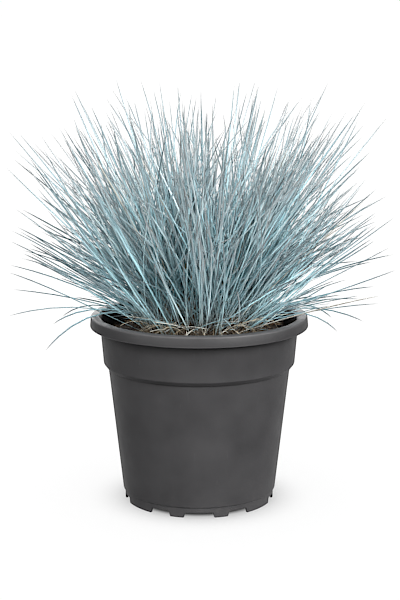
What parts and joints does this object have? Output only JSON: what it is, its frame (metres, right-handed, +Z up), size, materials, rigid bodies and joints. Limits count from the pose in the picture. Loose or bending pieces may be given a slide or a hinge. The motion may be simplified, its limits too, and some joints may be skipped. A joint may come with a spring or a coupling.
{
  "type": "potted blue fescue clump",
  "caption": "Clump of fine blue grass with thread-like leaves arching out of a dark round plastic nursery pot with a banded rim and a notched foot ring.",
  "frame": {"origin": "on the pot's axis at the level of the feet that it stands on", "axes": "+Z is up along the pot's axis, and -Y is the side that faced the camera"},
  "size_m": [0.345, 0.3412, 0.3691],
  "materials": {
    "pot_plastic": "matte",
    "soil": "matte",
    "dry_sheath": "matte",
    "blue_leaf": "satin"
  },
  "bodies": {
    "root": {"pot": "pot_plastic", "potting_soil": "soil", "crown": "dry_sheath", "leaf_tuft_01": "blue_leaf", "leaf_tuft_02": "blue_leaf", "leaf_tuft_03": "blue_leaf", "leaf_tuft_04": "blue_leaf", "leaf_tuft_05": "blue_leaf", "leaf_tuft_06": "blue_leaf", "leaf_tuft_07": "blue_leaf", "leaf_tuft_08": "blue_leaf", "leaf_tuft_09": "blue_leaf", "leaf_tuft_10": "blue_leaf", "leaf_tuft_11": "blue_leaf", "leaf_tuft_12": "blue_leaf", "leaf_tuft_13": "blue_leaf", "leaf_tuft_14": "blue_leaf", "leaf_tuft_15": "blue_leaf", "leaf_tuft_16": "blue_leaf", "leaf_tuft_17": "blue_leaf", "leaf_tuft_18": "blue_leaf", "leaf_tuft_19": "blue_leaf", "leaf_tuft_20": "blue_leaf", "leaf_tuft_21": "blue_leaf", "leaf_tuft_22": "blue_leaf", "leaf_tuft_23": "blue_leaf", "leaf_tuft_24": "blue_leaf", "leaf_tuft_25": "blue_leaf", "leaf_tuft_26": "blue_leaf", "leaf_tuft_27": "blue_leaf", "leaf_tuft_28": "blue_leaf", "leaf_tuft_29": "blue_leaf", "leaf_tuft_30": "blue_leaf", "leaf_tuft_31": "blue_leaf", "leaf_tuft_32": "blue_leaf", "leaf_tuft_33": "blue_leaf", "leaf_tuft_34": "blue_leaf", "leaf_tuft_35": "blue_leaf", "leaf_tuft_36": "blue_leaf", "leaf_tuft_37": "blue_leaf", "leaf_tuft_38": "blue_leaf", "leaf_tuft_39": "blue_leaf", "leaf_tuft_40": "blue_leaf", "leaf_tuft_41": "blue_leaf", "leaf_tuft_42": "blue_leaf", "leaf_tuft_43": "blue_leaf", "leaf_tuft_44": "blue_leaf", "leaf_tuft_45": "blue_leaf", "leaf_tuft_46": "blue_leaf"}
  },
  "joints": []
}
